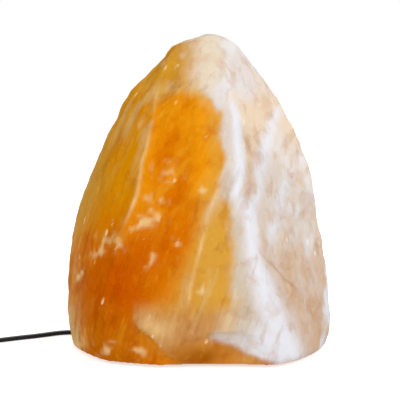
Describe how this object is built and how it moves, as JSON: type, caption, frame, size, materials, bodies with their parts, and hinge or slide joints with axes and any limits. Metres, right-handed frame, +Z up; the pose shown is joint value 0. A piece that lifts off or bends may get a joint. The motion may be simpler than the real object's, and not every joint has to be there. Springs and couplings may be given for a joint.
{
  "type": "salt crystal lamp",
  "caption": "Rough lump of rock salt with a drilled bore that holds a small bulb, on a flat cord with a rocker switch and a plug.",
  "frame": {"origin": "on the table under the middle of the lump, on the axis of its bore", "axes": "+Z up, +X right and +Y away from the viewer of the picture"},
  "size_m": [0.4831, 0.17, 0.2475],
  "materials": {
    "salt": "rough broken salt, warm orange to pale",
    "felt": "pressed felt",
    "spring_steel": "bright strip",
    "steel": "zinc plated",
    "black_plastic": "satin moulded",
    "black_gloss": "gloss moulded",
    "white_ceramic": "unglazed steatite, off-white",
    "brass": "stamped",
    "nickel_brass": "nickel plated",
    "cap_metal": "rolled thread",
    "black_glass": "opaque black glass",
    "clear_glass": "clear",
    "solder": "dull solder",
    "tungsten": "glowing",
    "cord": "matt black sheath",
    "core_insulation": "brown insulation",
    "nylon": "natural nylon"
  },
  "bodies": {
    "cord_set": {"spring_bracket": "spring_steel", "holder_cap": "black_plastic", "holder_shell": "black_plastic", "holder_core": "white_ceramic", "thread_sleeve": "brass", "centre_contact": "brass", "side_contact": "brass", "terminal_blocks": "brass", "terminal_screws": "steel", "nipple": "steel", "nipple_nut": "steel", "cord_gland": "black_plastic", "gland_screw": "steel", "holder_leads": "core_insulation", "cord_to_switch": "cord", "cord_switch_to_coil": "cord", "cord_coil_to_plug": "cord", "cord_coil": "cord", "switch_lower_shell": "black_gloss", "switch_upper_shell": "black_gloss", "switch_contacts": "brass", "switch_terminals": "brass", "switch_terminal_screws": "steel", "switch_housing_screws": "steel", "cord_clamps": "black_plastic", "clamp_screws": "steel", "switch_cores": "core_insulation", "plug_body": "black_gloss", "plug_strain_relief": "cord", "plug_pins": "nickel_brass", "plug_pin_sleeves": "black_plastic"},
    "crystal": {"salt_crystal": "salt", "felt_feet": "felt"},
    "bulb": {"bulb_glass": "clear_glass", "bulb_cap": "cap_metal", "bulb_insulator": "black_glass", "bulb_tip": "solder", "bulb_stem": "clear_glass", "bulb_lead_wires": "steel", "filament": "tungsten"},
    "rocker": {"switch_rocker": "black_gloss", "rocker_plunger": "nylon", "plunger_spring": "spring_steel"},
    "seesaw": {"switch_seesaw": "brass"}
  },
  "joints": [
    {"name": "crystal_lift", "type": "slide", "parent": "cord_set", "child": "crystal", "axis": [0, 0, 1], "range_m": [0, 0.17]},
    {"name": "bulb_turn", "type": "hinge", "parent": "cord_set", "child": "bulb", "pos_m": [0, 0, 0.1], "axis": [0, 0, 1], "range_deg": [0, 1080]},
    {"name": "rocker_tip", "type": "hinge", "parent": "cord_set", "child": "rocker", "pos_m": [-0.211, -0.019, 0.0116], "axis": [0.4384, -0.8988, 0], "range_deg": [0, 20]},
    {"name": "seesaw_rock", "type": "hinge", "parent": "cord_set", "child": "seesaw", "pos_m": [-0.211, -0.019, 0.0052], "axis": [0.4384, -0.8988, 0], "range_deg": [-14, 0]}
  ],
  "couplings": [
    {"joint": "seesaw_rock", "follows": "rocker_tip", "ratio": -0.7}
  ]
}
